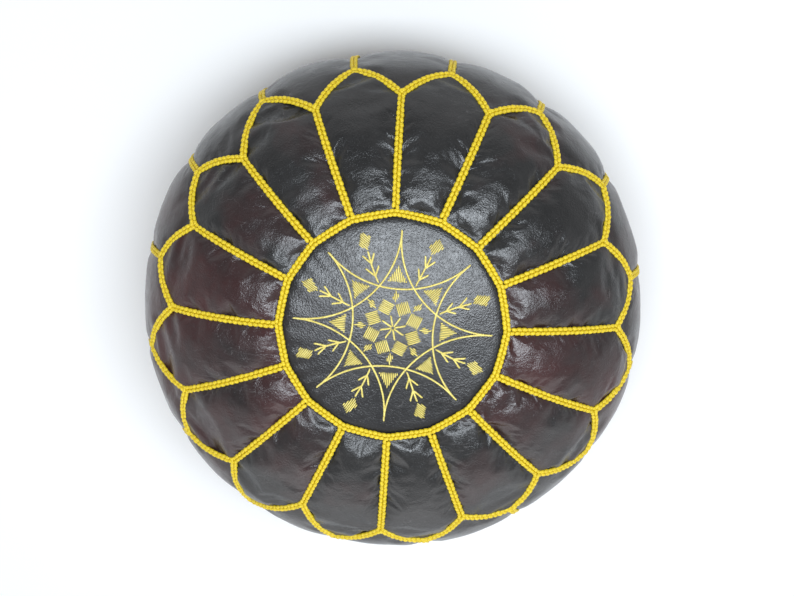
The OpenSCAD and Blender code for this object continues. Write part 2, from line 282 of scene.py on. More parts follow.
def leather(name, dark, tint, sheen=1.0, worn=0.5, rumple=1.0):
    """Glazed, lightly pebbled goatskin, with a brown cast here and there, creases and scuffs."""
    s = Shader(name)
    hide = s.node("Attribute", attribute_name="hide").outputs["Fac"]
    groove = s.node("Attribute", attribute_name="groove").outputs["Fac"]
    cast = s.math("ADD", s.noise(7.0, 4.0, 0.55), s.math("MULTIPLY", hide, 0.4))
    streaks = s.node("Mapping", Scale=(1.0, 1.0, 2.5))
    s.link(s.where(), streaks.inputs["Vector"])
    smoky = s.noise(24.0, 5.0, 0.6, 0.6, streaks.outputs["Vector"])
    body = s.mix(s.ramp(cast, (0.52, 0.0), (0.74, 1.0)), dark, tint)
    body = s.mix(s.ramp(smoky, (0.45, 0.0), (0.8, 0.6)), body, tuple(2.2 * c for c in dark))
    # Scuffs: thin pale scratches, where a stretched noise crosses its middle value
    scratch_map = s.node("Mapping", Scale=(1.0, 3.4, 1.0), Rotation=(0.0, 0.0, 0.7))
    s.link(s.where(), scratch_map.inputs["Vector"])
    scratch = s.noise(17.0, 3.0, 0.5, 0.3, scratch_map.outputs["Vector"])
    near = s.math("ABSOLUTE", s.math("SUBTRACT", scratch, 0.5))
    line = s.ramp(near, (0.0, 1.0), (0.004, 0.0))
    patch = s.ramp(s.noise(11.0, 2.0), (0.54, 0.0), (0.64, 1.0))
    scuff = s.math("MULTIPLY", line, patch)
    body = s.mix(s.math("MULTIPLY", scuff, worn), body, (0.16, 0.15, 0.15))
    s.link(body, s.bsdf.inputs["Base Color"])
    # Roughness: glazed, duller in patches
    dull = s.ramp(s.noise(33.0, 5.0, 0.6), (0.3, 0.26), (0.75, 0.42))
    s.link(s.math("ADD", dull, s.math("MULTIPLY", scuff, 0.2)), s.bsdf.inputs["Roughness"])
    # Bump: grain pebbles and their pores, then fine creases, then soft unevenness
    warp = s.node("TexNoise", Scale=140.0, Detail=2.0)
    s.link(s.where(), warp.inputs["Vector"])
    bent = s.mix(0.006, s.where(), warp.outputs["Color"], "ADD")
    pebble = s.node("TexVoronoi", Scale=560.0, Randomness=1.0)
    s.link(bent, pebble.inputs["Vector"])
    grain = s.ramp(pebble.outputs["Distance"], (0.0, 1.0), (0.7, 0.0))
    speckle = s.noise(700.0, 3.0, 0.65)
    fine = s.bump(speckle, 0.34, 0.3 * MM)
    fine = s.bump(grain, 0.5, 0.3 * MM, fine)
    crease = s.noise(120.0, 6.0, 0.65, 1.4)
    folded = s.ramp(s.math("ABSOLUTE", s.math("SUBTRACT", crease, 0.5)), (0.0, 0.0), (0.05, 1.0))
    creased = s.bump(folded, 0.12 * rumple, 0.45 * MM, fine)
    soft = s.bump(s.noise(60.0, 4.0, 0.55, 0.6), 0.34 * rumple, 2.2 * MM, creased)
    s.link(soft, s.bsdf.inputs["Normal"])
    s.link(soft, s.bsdf.inputs["Coat Normal"])
    # Little light gets into the grooves at the seams
    open_air = s.math("SUBTRACT", 1.0, s.math("MULTIPLY", groove, 0.85))
    s.link(s.math("MULTIPLY", open_air, 0.5), s.bsdf.inputs["Specular IOR Level"])
    s.link(s.math("MULTIPLY", open_air, 0.25 * sheen), s.bsdf.inputs["Coat Weight"])
    s.set(Coat_Roughness=0.24)
    return s.material


def silk(name, deep, bright, lay):
    """Twisted rayon yarn. Each point's yarn attribute holds its way along, its place around as a
    sine and cosine; lay is how far the yarn goes in one turn of its plies. Each point also has a
    tone from the deep to the bright colour: random on the embroidery, and on the plaits painted
    shade where the loops tuck under and painted highlight on their crowns."""
    s = Shader(name)
    yarn = s.node("Attribute", attribute_name="yarn").outputs["Vector"]
    tone_and_shade = s.node("Attribute", attribute_name="tone_and_shade").outputs["Fac"]
    split = s.node("SeparateXYZ")
    s.link(yarn, split.inputs[0])
    angle = s.math("MULTIPLY", split.outputs[0], 2 * math.pi / lay)
    ply = s.math("ADD", s.math("MULTIPLY", s.math("SINE", angle), split.outputs[1]),
                 s.math("MULTIPLY", s.math("COSINE", angle), split.outputs[2]))
    ply = s.math("ABSOLUTE", ply)
    hair = s.noise(500.0, 3.0, 0.6)
    # Colour from deep to bright by tone: painted shade and painted highlight on the plaits, random
    # tone on the embroidery
    colour = s.mix(s.ramp(tone_and_shade, (0.0, 0.0), (1.0, 1.0)), deep, bright)
    # Painted shade along the lines between the twisted plies
    colour = s.mix(s.ramp(ply, (0.0, 0.55), (0.35, 0.0)), colour, tuple(0.45 * c for c in deep))
    colour = s.mix(s.ramp(hair, (0.4, 0.0), (0.8, 0.3)), colour, tuple(0.6 * c for c in deep))
    s.link(colour, s.bsdf.inputs["Base Color"])
    fibre = s.bump(hair, 0.25, 0.15 * MM)
    s.link(s.bump(ply, 0.6, 0.3 * MM, fibre), s.bsdf.inputs["Normal"])
    s.set(Roughness=0.42, Specular_IOR_Level=0.4, Sheen_Weight=0.2, Sheen_Roughness=0.4)
    s.bsdf.inputs["Sheen Tint"].default_value = (*bright, 1)
    return s.material


def woven(name, colour):
    s = Shader(name)
    weave = s.node("TexWave", wave_type="BANDS", bands_direction="DIAGONAL", Scale=420.0,
                   Distortion=0.4)
    s.link(s.where(), weave.inputs["Vector"])
    s.link(s.mix(weave.outputs["Fac"], tuple(0.6 * c for c in colour), colour),
           s.bsdf.inputs["Base Color"])
    s.link(s.bump(weave.outputs["Fac"], 0.6, 0.2 * MM), s.bsdf.inputs["Normal"])
    s.set(Roughness=0.85, Sheen_Weight=0.2)
    return s.material


def nylon(name):
    s = Shader(name)
    s.link(s.mix(s.noise(300.0), (0.02, 0.02, 0.022), (0.05, 0.05, 0.055)),
           s.bsdf.inputs["Base Color"])
    s.set(Roughness=0.35, Coat_Weight=0.2)
    return s.material


def zinc(name):
    s = Shader(name)
    wear = s.noise(240.0, 5.0, 0.6)
    s.link(s.ramp(wear, (0.3, (0.50, 0.50, 0.51)), (0.7, (0.70, 0.70, 0.71))),
           s.bsdf.inputs["Base Color"])
    s.link(s.ramp(wear, (0.3, 0.28), (0.7, 0.42)), s.bsdf.inputs["Roughness"])
    s.link(s.bump(s.noise(900.0, 2.0), 0.15, 0.1 * MM), s.bsdf.inputs["Normal"])
    s.set(Metallic=1.0)
    return s.material


def wadding(name):
    s = Shader(name)
    tufts = s.noise(70.0, 6.0, 0.7, 1.5)
    s.link(s.ramp(tufts, (0.3, (0.62, 0.58, 0.50)), (0.7, (0.88, 0.85, 0.78))),
           s.bsdf.inputs["Base Color"])
    s.link(s.bump(tufts, 0.9, 3 * MM), s.bsdf.inputs["Normal"])
    s.set(Roughness=1.0)
    return s.material


PETAL_LEATHER = leather("petal_leather", (0.0105, 0.0105, 0.0105), (0.042, 0.0100, 0.0100))
SIDE_LEATHER = leather("side_leather", (0.0125, 0.0115, 0.0115), (0.042, 0.014, 0.013), worn=0.8)
MEDALLION_LEATHER = leather("medallion_leather", (0.012, 0.012, 0.0125), (0.017, 0.013, 0.013),
                            rumple=0.5)
BASE_LEATHER = leather("base_leather", (0.020, 0.016, 0.016), (0.034, 0.018, 0.017), 0.5, 0.3)
# Deep and bright ends of the yarn colour; on the plaits the deep end is painted shade and the bright
# end painted highlight
BRAID_SILK = silk("braid_silk", (0.36, 0.22, 0.001), (0.86, 0.65, 0.024), 3.4 * MM)
THREAD_SILK = silk("embroidery_silk", (0.55, 0.42, 0.06), (1.0, 0.86, 0.26), 2.6 * MM)
TAPE_CLOTH = woven("zip_tape", (0.045, 0.042, 0.045))
COIL_NYLON = nylon("zip_coil")
ZIP_METAL = zinc("zip_metal")
WADDING = wadding("wadding")

# ------------------------------------------------------------------ how true the seams are
# These four tables were not chosen by hand: a program measured them from the photograph.
# How far each corner between two petals, and each petal's tip, sits out of the round, in
# millimetres seen from above, clockwise from the first seam
CORNER_SHIFTS = (1, 2, 0, 1, 3, 4, -4, -4, 0, -10, -3, 0, -1, -4, -5, -1)
TIP_SHIFTS = (-1, 2, 0, -5, 3, 2, -10, -5, -2, 5, -2, 3, -7, -6, 2, -1)
# How far each radial seam turns out of its even direction, in degrees, at the ring and at its corner
RING_TURNS = (1.5, 0.7, 1.1, 1.1, 0.2, -0.7, -0.3, -0.4, -0.3, -0.7, -0.6, 0.6, 2.0, 0.8, 1.3, 0.9)
CORNER_TURNS = (0.6, 0.4, 0.8, 0.4, 0.3, 0.1, 0.3, -0.8, -0.5, -0.4, 0.1, -0.3, -0.1, -0.2, 0.3, 0.4)


def seam_shifts():
    """The same shifts as distances down the cover, with their directions, in rising order."""
    table = []
    for k in range(PANELS):
        for radius, run, shift, deg in (
            (VALLEY_R, VALLEY_RUN, CORNER_SHIFTS[k], seam_deg(k)),
            (APEX_R, APEX_RUN, TIP_SHIFTS[k], seam_deg(k) - PITCH / 2),
        ):
            table.append((deg % 360, run_of(level_of(radius + shift * MM)) - run))
    return np.array(sorted(table)).T


SHIFT_DEGS, SHIFT_RUNS = seam_shifts()
TURN_DEGS, RING_TURN, CORNER_TURN = np.array(sorted(
    (seam_deg(k) % 360, RING_TURNS[k], CORNER_TURNS[k]) for k in range(PANELS))).T


# How far the radial seams draw the ring outwards, and how far out from the ring that dies away
RING_PULL = 1.7 * MM
RING_PULL_REACH = 25 * MM


def ring_pull(deg):
    """How far the ring is drawn outwards in a direction: most at the radial seams."""
    from_middle = np.abs((seam_deg(0) - np.asarray(deg, float)) % PITCH / PITCH - 0.5) * 2
    return RING_PULL * from_middle**2


def wander(run, deg):
    """Moves a place on the cover as the hand-made seams do, so that all pieces still meet."""
    run, deg = np.asarray(run, float), np.asarray(deg, float)
    shift = np.interp(deg % 360, SHIFT_DEGS, SHIFT_RUNS, period=360)
    out = np.clip(run / VALLEY_RUN, 0, 1)
    fall = np.clip((APEX_RUN + 90 * MM - run) / (80 * MM), 0, 1)
    fall = fall * fall * (3 - 2 * fall)
    turn = (np.interp(deg % 360, TURN_DEGS, RING_TURN, period=360) * (1 - out)
            + np.interp(deg % 360, TURN_DEGS, CORNER_TURN, period=360) * out)
    pull = ring_pull(deg) * np.exp(-((run / RING_PULL_REACH) ** 2))
    return run + pull + shift * out**2 * fall, deg + turn * (0.3 + 0.7 * fall)


# ------------------------------------------------------------------ the leather cover
# Points across a panel, and down a petal and a side panel
ACROSS, PETAL_ROWS, SIDE_ROWS = 32, 60, 76
# How far the seams pull the leather in, on top and on the sides
TOP_SINK, SIDE_SINK = 3.2 * MM, 5 * MM


def seam_sink(run):
    share = np.clip((np.asarray(run, float) - VALLEY_RUN) / (60 * MM), 0, 1)
    return TOP_SINK + (SIDE_SINK - TOP_SINK) * share


def panel_grids():
    """Distance and direction of every point of every panel, with seam points shared."""
    across = np.linspace(0, 2, ACROSS + 1)
    down = np.linspace(0, 1, PETAL_ROWS + 1)[:, None]
    side_down = np.linspace(0, 1, SIDE_ROWS + 1)[:, None]
    grids = []
    for k in range(PANELS):
        edge = arch_run(across)
        grids.append((edge * down, seam_deg(k) - across * PITCH / 2 + 0 * down))
    for k in range(PANELS):
        edge = arch_run(np.abs(across - 1))
        run = edge + (BASE_RUN - edge) * side_down
        grids.append((run, seam_deg(k) - (across - 1) * PITCH / 2 + 0 * side_down))
    run = np.concatenate([g[0].ravel() for g in grids])
    deg = np.concatenate([g[1].ravel() for g in grids])
    key = np.round(run * 1e6).astype(np.int64) * 10**8 + np.round(deg % 360 * 1e4).astype(int)
    _, first, number = np.unique(key, return_index=True, return_inverse=True)
    indices, start = [], 0
    for g in grids:
        indices.append(number[start:start + g[0].size].reshape(g[0].shape))
        start += g[0].size
    pinned = np.zeros(len(first), bool)
    for index in indices:
        for edge in (index[0], index[-1], index[:, 0], index[:, -1]):
            pinned[edge] = True
    return run[first], deg[first], pinned, indices[:PANELS], indices[PANELS:]


def puff(points, faces, pinned, ease, frames, pressure=4.0, bending=0.5, stiffness=15.0):
    """Sews the leather down at its pinned points, gives it ease to spare and stuffs it."""
    scene = bpy.context.scene
    cover = add_mesh("cover", points, faces)
    hold = cover.vertex_groups.new(name="hold")
    hold.add(np.nonzero(pinned)[0].tolist(), 1.0, "REPLACE")
    slack = cover.vertex_groups.new(name="slack")
    levels = 24
    most, least = float(ease.max()), float(ease.min())
    shelf = np.round((most - ease) / max(most - least, 1e-9) * levels).astype(int)
    for level in range(levels + 1):
        slack.add(np.nonzero(shelf == level)[0].tolist(), level / levels, "REPLACE")
    cloth = cover.modifiers.new("cloth", "CLOTH")
    s = cloth.settings
    s.quality = 5
    s.mass = 0.3
    s.tension_stiffness = s.compression_stiffness = stiffness
    s.shear_stiffness = 5
    s.bending_stiffness = bending
    s.vertex_group_mass = "hold"
    s.vertex_group_shrink = "slack"
    s.shrink_min, s.shrink_max = -most, -least
    s.use_pressure = True
    s.uniform_pressure_force = pressure
    s.effector_weights.gravity = 0
    cloth.collision_settings.use_collision = False
    cloth.point_cache.frame_start, cloth.point_cache.frame_end = 1, frames + 1
    for at in range(1, frames + 1):
        scene.frame_set(at)
    shape = cover.evaluated_get(bpy.context.evaluated_depsgraph_get()).data
    moved = np.zeros(3 * len(points))
    shape.vertices.foreach_get("co", moved)
    scene.frame_set(1)
    bpy.data.objects.remove(cover)
    return moved.reshape(-1, 3)


def stay_off_floor(z):
    """Eases anything near the floor to just above it, as a stuffed side flattens there."""
    soft, floor = 1.6 * MM, 0.3 * MM
    return floor + soft * np.logaddexp(0, (z - floor) / soft)


def stuff_cover():
    run, deg, pinned, petals, sides = panel_grids()
    sink = seam_sink(run)
    run, deg = wander(run, deg)
    normal = cover_normal(run, deg)
    flat = on_cover(run, deg)
    rough = soft_noise(flat, 60, 1) + 0.5 * soft_noise(flat, 150, 2)
    is_side = np.zeros(len(run), bool)
    for index in sides:
        is_side[index] = True
    lift = np.where(pinned, -sink, np.where(is_side, -3 * MM, -1 * MM) + rough * MM)
    start = flat + normal * lift[:, None]
    ease = 0.036 + 0.024 * soft_noise(flat, 22, 3) + 0.012 * soft_noise(flat, 55, 4)
    ease = np.clip(np.where(is_side, 0.6 * ease, ease), 0.006, 0.075)
    faces = [f for index in petals + sides for f in grid_faces(index)]
    shape = puff(start, faces, pinned, ease, 18)
    out = ((shape - flat) * normal).sum(1)
    cap = np.clip(out, -7 * MM, np.where(is_side, 5 * MM, 8 * MM))
    shape = shape + normal * (cap - out)[:, None]
    shape[:, 2] = stay_off_floor(shape[:, 2])
    return shape, run, deg, petals, sides


def fold_lines(run, deg, from_seam):
    """Small folds in millimetres: bands round the inner petals, and puckers square to the seams."""
    a = np.radians(deg)
    flat = np.stack([run * np.cos(a), run * np.sin(a), 0 * run], -1)
    patchy = np.clip(0.5 + 1.2 * soft_noise(flat, 25, 41), 0, 1)
    bend = 2.2 * soft_noise(flat, 28, 42)
    band = np.sin(run / (3.1 * MM) + bend) * np.exp(-run / (70 * MM)) * patchy
    ripple = soft_noise(flat, 18, 43)
    pucker = np.sin(run / (1.35 * MM) + 5 * ripple) * np.exp(-from_seam / (6 * MM))
    pucker *= np.clip(0.4 + 1.5 * soft_noise(flat, 35, 44), 0, 1)
    return 0.55 * band + 0.45 * pucker


def add_folds(shape, run, deg, indices):
    """Presses the small folds into each panel, fading out at its edges."""
    for index in indices:
        rows, columns = index.shape
        u = np.linspace(0, 1, columns)[None, :]
        width = (200 * MM + 0 * run[index]) * math.radians(PITCH)
        from_seam = np.minimum(u, 1 - u) * width
        edge = np.sin(np.pi * np.linspace(0, 1, rows))[:, None] ** 0.5
        edge = edge * np.clip(from_seam / (1.5 * MM), 0, 1)
        height = fold_lines(run[index], deg[index], from_seam) * edge * MM
        shape[index] += cover_normal(run[index], deg[index]) * height[..., None]


def seam_groove(grid):
    """1 at a panel's edges, falling to 0 a few millimetres in."""

    def inward(points):
        steps = np.linalg.norm(np.diff(points, axis=0), axis=-1)
        way = np.concatenate([0 * steps[:1], np.cumsum(steps, 0)])
        return np.minimum(way, way[-1] - way)

    gap = np.minimum(inward(grid), inward(grid.swapaxes(0, 1)).T)
    return np.clip(1.6 - gap / (4.2 * MM), 0, 1) ** 1.5


def make_panels():
    shape, run, deg, petals, sides = stuff_cover()
    add_folds(shape, run, deg, petals + sides)
    for name, indices, material, slot in (
        ("top_petal", petals, PETAL_LEATHER, "petal_leather"),
        ("side_panel", sides, SIDE_LEATHER, "side_leather"),
    ):
        for k, index in enumerate(indices):
            rows, columns = index.shape
            numbers = np.arange(rows * columns).reshape(rows, columns)
            node = f"{name}_{k + 1:02d}"
            panel = add_mesh("leather_" + node, shape[index.ravel()], grid_faces(numbers))
            hide = panel.data.attributes.new("hide", "FLOAT", "POINT")
            toward = math.radians(seam_deg(k + 0.5))
            brown = 0.7 * abs(math.cos(toward)) - 0.35 + 0.15 * math.sin(5.3 * k)
            hide.data.foreach_set("value", np.full(index.size, brown))
            groove = panel.data.attributes.new("groove", "FLOAT", "POINT")
            groove.data.foreach_set("value", seam_groove(shape[index]).ravel())
            thicken(panel, LEATHER)
            as_piece(panel, material, "pouf", slot, node)


make_panels()

# ------------------------------------------------------------------ the medallion
RING_Z = float(profile(RING_LEVEL)[1])
DOME_DROP = COVER_H - RING_Z
DOME_R = (RING_R**2 + DOME_DROP**2) / (2 * DOME_DROP)
EDGE_ROLL = 11 * MM


def top_height(x, y):
    """Height of the medallion: a shallow dome, drawn in at the ring, with soft dents and puckers."""
    x, y = np.asarray(x, float), np.asarray(y, float)
    r = np.hypot(x, y)
    a = np.arctan2(y, x)
    dome = COVER_H - DOME_R + np.sqrt(DOME_R**2 - np.minimum(r, RING_R)**2)
    inward = np.clip((r - (RING_R - EDGE_ROLL)) / EDGE_ROLL, 0, 1)
    points = np.stack([x, y, 0 * x], -1)
    dents = soft_noise(points, 45, 11) * 1.5 + soft_noise(points, 110, 12) * 0.5 - 0.8
    near_edge = np.exp(-(RING_R - r) / (13 * MM))
    ripple = soft_noise(points, 30, 13)
    share = np.clip(0.3 + 1.4 * soft_noise(points, 24, 14), 0, 1)
    pucker = share * np.sin(37 * a + 3 * np.sin(3 * a) + 9 * ripple)
    height = dents * np.clip(r / (30 * MM), 0.25, 1) + 0.6 * near_edge * pucker
    return dome + height * MM * (1 - inward**3) - TOP_SINK * inward**2.4


def make_medallion():
    rings, around = 96, 288
    r = RING_R * np.linspace(0, 1, rings + 1)[1:] ** 0.8
    a = np.linspace(0, 2 * math.pi, around, endpoint=False)
    turn = np.interp(np.degrees(a), TURN_DEGS, RING_TURN, period=360)
    reach = r[:, None] + ring_pull(np.degrees(a) - turn) * (r[:, None] / RING_R) ** 6
    x, y = reach * np.cos(a), reach * np.sin(a)
    ring_points = np.stack([x, y, top_height(x, y)], -1).reshape(-1, 3)
    centre = [[0, 0, float(top_height(np.zeros(1), np.zeros(1))[0])]]
    points = np.concatenate([ring_points, centre])
    numbers = np.arange(rings * around).reshape(rings, around)
    numbers = np.concatenate([numbers, numbers[:, :1]], 1)
    faces = [f[::-1] for f in grid_faces(numbers)]
    hub = len(points) - 1
    faces += [(hub, int(numbers[0, i]), int(numbers[0, i + 1])) for i in range(around)]
    disc = add_mesh("leather_medallion", points, faces)
    gap = RING_R - np.append(np.repeat(r, around), 0)
    groove = disc.data.attributes.new("groove", "FLOAT", "POINT")
    groove.data.foreach_set("value", np.clip(1.6 - gap / (4.2 * MM), 0, 1) ** 1.5)
    thicken(disc, LEATHER)
    as_piece(disc, MEDALLION_LEATHER, "pouf", "medallion_leather", "top_medallion")


make_medallion()


# ------------------------------------------------------------------ yarn
class Yarns:
    """Gathers many tubes into one mesh, with the yarn attributes that the silk material reads."""

    def __init__(self, sides=6):
        self.points, self.faces, self.yarn, self.tone_and_shade = [], [], [], []
        self.count, self.sides = 0, sides

    def add(self, path, up, radius, tone_and_shade=0.5, flat=1.0, offset=0.0, closed=False):
        """A tube along path. up is the surface's normal there, and flat squashes it that way."""
        path = np.asarray(path, float)
        n, m = len(path), self.sides
        if closed:
            along = np.roll(path, -1, 0) - np.roll(path, 1, 0)
        else:
            along = np.gradient(path, axis=0)
        along /= np.linalg.norm(along, axis=1)[:, None] + 1e-12
        side = np.cross(up, along)
        side /= np.linalg.norm(side, axis=1)[:, None] + 1e-12
        lift = np.cross(along, side)
        a = np.linspace(0, 2 * math.pi, m, endpoint=False)
        radius = np.broadcast_to(np.asarray(radius, float), (n,))[:, None, None]
        tube = path[:, None] + radius * (np.cos(a)[None, :, None] * side[:, None]
                                         + flat * np.sin(a)[None, :, None] * lift[:, None])
        steps = np.linalg.norm(np.diff(path, axis=0), axis=1)
        way = offset + np.concatenate([[0], np.cumsum(steps)])
        yarn = np.stack(np.broadcast_arrays(way[:, None], np.cos(a)[None], np.sin(a)[None]), -1)
        tone_and_shade_values = np.broadcast_to(np.asarray(tone_and_shade, float), (n,))
        number = self.count + np.arange(n * m).reshape(n, m)
        if closed:
            number = np.concatenate([number, number[:1]], 0)
        b = np.roll(number, -1, 1)
        quads = np.stack([number[:-1], b[:-1], b[1:], number[1:]], -1).reshape(-1, 4)
        self.faces += quads.tolist()
        if not closed:
            self.faces += [number[0, ::-1].tolist(), number[-1].tolist()]
        self.points.append(tube.reshape(-1, 3))
        self.yarn.append(yarn.reshape(-1, 3))
        self.tone_and_shade.append(np.repeat(tone_and_shade_values, m))
        self.count += n * m

    def make(self, name, material, slot, *nodes):
        points = np.concatenate(self.points)
        points[:, 2] = np.maximum(points[:, 2], 0.1 * MM)
        obj = add_mesh(name, points, self.faces)
        yarn = obj.data.attributes.new("yarn", "FLOAT_VECTOR", "POINT")
        yarn.data.foreach_set("vector", np.concatenate(self.yarn).ravel())
        tone_and_shade = obj.data.attributes.new("tone_and_shade", "FLOAT", "POINT")
        tone_and_shade.data.foreach_set("value", np.concatenate(self.tone_and_shade))
        return as_piece(obj, material, "pouf", slot, *nodes)


# ------------------------------------------------------------------ plaited trim
LOBE = 5.5 * MM
RING_LOBE = 4.8 * MM
BEAD_OUT, BEAD_R, BEAD_SLANT = 1.95 * MM, 2.05 * MM, 0.55 * MM
# The core yarn under the loops is given the deepest colour, as painted shade
CORE_SHADE = 0.0
# How high the plait's middle sits over the place where the leather is sewn down
PLAIT_LIFT = 2.3 * MM


def plait(yarns, run, deg, lobe=LOBE, closed=False, wobble=0, tip_up=0.0):
    """A flat plait along a line on the cover: two rows of plump yarn loops, each tucked under the
    next. tip_up turns its face from the cover's normal towards straight up."""
    lift = PLAIT_LIFT + 2 * MM * tip_up - seam_sink(run)
    run, deg = wander(run, deg)
    line, up = on_cover(run, deg, lift), cover_normal(run, deg) + tip_up * UP
    if closed:
        line, up = (np.concatenate([v, v[:1]]) for v in (line, up))
    way = np.concatenate([[0], np.cumsum(np.linalg.norm(np.diff(line, axis=0), axis=1))])
    count = max(2, round(way[-1] / lobe))
    lobe = way[-1] / count

    def place(at):
        at = at % way[-1] if closed else np.clip(at, 0, way[-1])
        spot = np.stack([np.interp(at, way, c) for c in line.T], -1)
        face = np.stack([np.interp(at, way, c) for c in up.T], -1)
        return spot, face / np.linalg.norm(face, axis=-1, keepdims=True)

    t = np.linspace(-1, 1, 8)
    for i in range(count):
        for row in (-1, 1):
            middle = (i + 0.5 + 0.22 * row) * lobe
            at = middle + t * lobe * 0.62
            spot, face = place(at)
            ahead = np.gradient(spot, axis=0)
            side = np.cross(face, ahead)
            side /= np.linalg.norm(side, axis=1)[:, None] + 1e-12
            uneven = 1 + 0.05 * math.sin(2.3 * i + wobble + row)
            across = row * (BEAD_OUT * uneven - BEAD_SLANT * t)
            height = 0.55 * MM - 1.5 * MM * np.abs(t + 0.1) ** 2.2
            path = spot + side * across[:, None] + face * height[:, None]
            swell = BEAD_R * uneven * np.sqrt(1.08 - np.abs(t) ** 3)
            # Painted shade and highlight: each loop is brightest on its crown and darkest at its
            # ends, where it tucks under the next
            tone_and_shade = 1 - 0.95 * np.abs(t) ** 2.2 + 0.1 * math.sin(3.7 * i + row)
            yarns.add(path, face, swell, np.clip(tone_and_shade, 0, 1), 0.8, i * 1.3 * MM)
    # A flat core yarn under the loops fills the gaps between them; its deepest colour is painted
    # shade
    inset = 0 if closed else 0.6 * lobe
    at = np.linspace(inset, way[-1] - inset, 2 * count + 1)[:-1 if closed else None]
    spot, face = place(at)
    yarns.add(spot - 0.9 * MM * face, face, 2.5 * MM, CORE_SHADE, 0.35, 0, closed)


def plain_line(start, end, count=160):
    return np.linspace(start, end, count)


def make_trim():
    # A plait's lobes repeat over four, so the ring has a whole number of fours
    ring = Yarns()
    ring_lobe = 2 * math.pi * RING_R / (4 * round(2 * math.pi * RING_R / RING_LOBE / 4))
    deg = np.linspace(0, 360, 360, endpoint=False)
    plait(ring, 0 * deg, deg, ring_lobe, True)
    ring.make("plait_ring", BRAID_SILK, "braid_silk", "ring_braid")
    radial, scallop, side = Yarns(), Yarns(), Yarns()
    for k in range(PANELS):
        run = plain_line(BRAID_W * 0.45, VALLEY_RUN + 2 * MM)
        plait(radial, run, seam_deg(k) + 0 * run, wobble=0.9 * k)
        u = np.linspace(0.015, 1.985, 160)
        plait(scallop, arch_run(u), seam_deg(k) - u * PITCH / 2, wobble=1.7 * k, tip_up=0.5)
        run = plain_line(APEX_RUN + BRAID_W * 0.35, BASE_RUN - 3 * MM, 300)
        plait(side, run, seam_deg(k + 0.5) + 0 * run, wobble=2.3 * k)
    radial.make("plait_radial", BRAID_SILK, "braid_silk", "radial_braids")
    scallop.make("plait_scallop", BRAID_SILK, "braid_silk", "scallop_braids")
    side.make("plait_side", BRAID_SILK, "braid_silk", "side_braids")


make_trim()

# ------------------------------------------------------------------ embroidery
TIP_DEG = 84.6
SPRIG_DEG = 62.1
STAR_TIPS = 8
STAR_TURN = 360 / STAR_TIPS
STAR_TIP_R, STAR_WAIST_R = 97 * MM, 39 * MM
THREAD_R = 0.55 * MM
SATIN_STEP = 1.8 * MM
# The star was drawn a little wider than it is tall
STAR_WIDER = 1.025


def turned(points, deg):
    a = math.radians(deg)
    points = np.asarray(points, float)
    x = points[..., 0] * math.cos(a) - points[..., 1] * math.sin(a)
    y = points[..., 0] * math.sin(a) + points[..., 1] * math.cos(a)
    return np.stack([x * STAR_WIDER, y], -1)


def on_top(plan, lift):
    z = top_height(plan[:, 0], plan[:, 1]) + lift
    return np.stack([plan[:, 0], plan[:, 1], z], -1)


def stitch(yarns, start, end, radius=THREAD_R, arch=0.5 * MM, tone_and_shade=0.5, samples=7):
    """One thread laid on the leather, with both ends going into it."""
    t = np.linspace(0, 1, samples)[:, None]
    plan = np.asarray(start) * (1 - t) + np.asarray(end) * t
    t = t[:, 0]
    bow = 1 - np.abs(2 * t - 1) ** 4
    path = on_top(plan, -0.35 * MM + (0.35 * MM + arch) * bow)
    yarns.add(path, np.tile(UP, (samples, 1)), radius * (0.75 + 0.25 * bow), tone_and_shade, 1.0,
              random.uniform(0, 0.01))


def stem_line(yarns, plan, step=2.5 * MM, radius=0.8 * MM):
    """Stem stitch: short slanted stitches, each starting beside the middle of the last."""
    plan = np.asarray(plan, float)
    steps = np.linalg.norm(np.diff(plan, axis=0), axis=1)
    way = np.concatenate([[0], np.cumsum(steps)])
    count = max(2, round(way[-1] / step))
    marks = np.linspace(0, way[-1], count + 1)
    at = np.stack([np.interp(marks, way, c) for c in plan.T], -1)
    ahead = np.gradient(at, axis=0)
    ahead /= np.linalg.norm(ahead, axis=1)[:, None]
    side = np.stack([-ahead[:, 1], ahead[:, 0]], -1)
    for i in range(count):
        j = min(i + 2, count)
        shift = 0.36 * MM * random.uniform(0.7, 1.3)
        stitch(yarns, at[i] - side[i] * shift, at[j] + side[j] * shift, radius, 0.45 * MM,
               random.uniform(0.45, 1.0), 6)


def satin(yarns, outline, way_deg, step=SATIN_STEP):
    """Fills an outline with threads side by side, all in one direction."""
    a = math.radians(way_deg)
    along, across = np.array([math.cos(a), math.sin(a)]), np.array([-math.sin(a), math.cos(a)])
    outline = np.asarray(outline)
    low, high = (outline @ across).min(), (outline @ across).max()
    rows = max(2, round((high - low) / step))
    for row in range(rows):
        level = low + (row + 0.5) * (high - low) / rows
        hits = []
        for p, q in zip(outline, np.roll(outline, -1, 0)):
            dp, dq = p @ across - level, q @ across - level
            if dp * dq < 0:
                hits.append((p + (q - p) * dp / (dp - dq)) @ along)
        if len(hits) < 2:
            continue
        first, last = min(hits), max(hits)
        jitter = [random.uniform(-0.35, 0.45) * MM for _ in range(2)]
        start = along * (first - jitter[0]) + across * level
        end = along * (last + jitter[1]) + across * level
        if last - first > 1 * MM:
            stitch(yarns, start, end, step * 0.38, 0.75 * MM, random.uniform(0.5, 1.0), 8)


def star_arc(tip):
    """Plan of one arc of the star, from the tip before to the tip after it."""
    mid = STAR_TIP_R * math.cos(math.radians(STAR_TURN))
    half = STAR_TIP_R * math.sin(math.radians(STAR_TURN))
    bulge = mid - STAR_WAIST_R
    arc_r = (half**2 + bulge**2) / (2 * bulge)
    spread = math.asin(half / arc_r)
    a = np.linspace(-spread, spread, 90)
    plan = np.stack([STAR_WAIST_R + arc_r * (1 - np.cos(a)), arc_r * np.sin(a)], -1)
    return turned(plan, TIP_DEG + tip * STAR_TURN)


